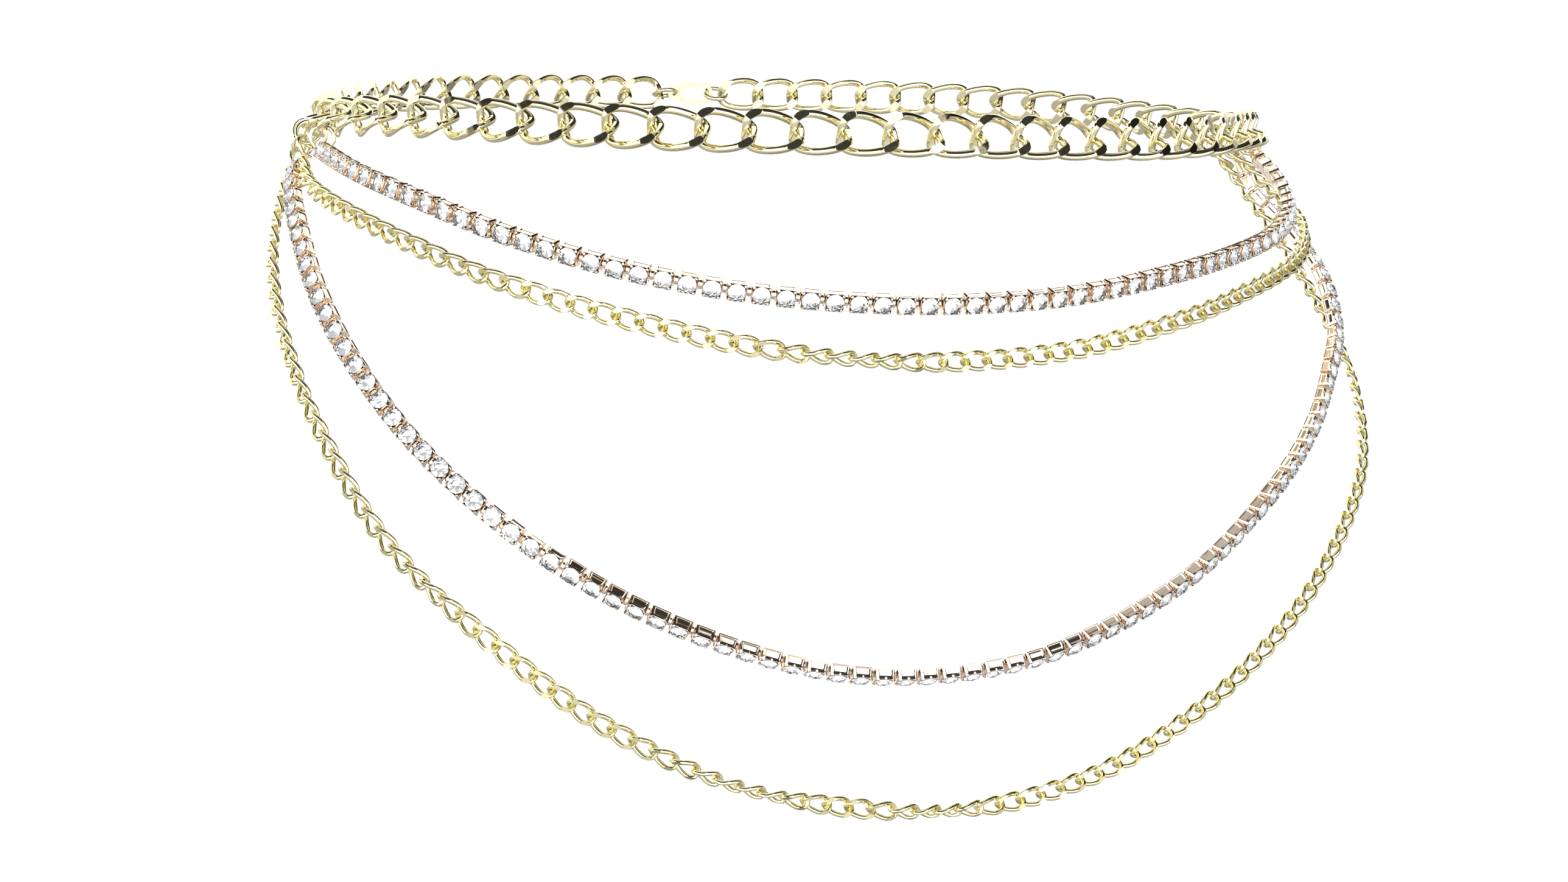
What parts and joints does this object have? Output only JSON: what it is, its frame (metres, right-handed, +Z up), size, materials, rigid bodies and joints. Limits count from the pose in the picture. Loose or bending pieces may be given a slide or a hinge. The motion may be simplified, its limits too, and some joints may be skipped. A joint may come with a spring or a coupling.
{
  "type": "draped waist chain",
  "caption": "Big twisted curb chain round the waist, with stone chains and small curb chains hung across the front in swags from its two sides.",
  "frame": {"origin": "middle of the loop that the waist goes through, level with the waist chain", "axes": "+Z up along the wearer, -Y to the wearer's front where the swags hang, +X to the right of someone who faces the front"},
  "size_m": [0.2747, 0.2056, 0.1523],
  "materials": {
    "gold": "bright polished pale gold plate",
    "rose_gold": "bright polished rose gold plate",
    "stones": "clear cut stones with a silvered back"
  },
  "bodies": {
    "root": {"waist_chain": "gold", "upper_stone_chain_cups": "rose_gold", "upper_stone_chain_stones": "stones", "upper_curb_chain": "gold", "lower_stone_chain": "rose_gold", "lowest_curb_chain": "gold", "left_jump_rings": "gold", "right_jump_rings": "gold", "clasp": "gold", "clasp_rings": "gold"}
  },
  "joints": []
}
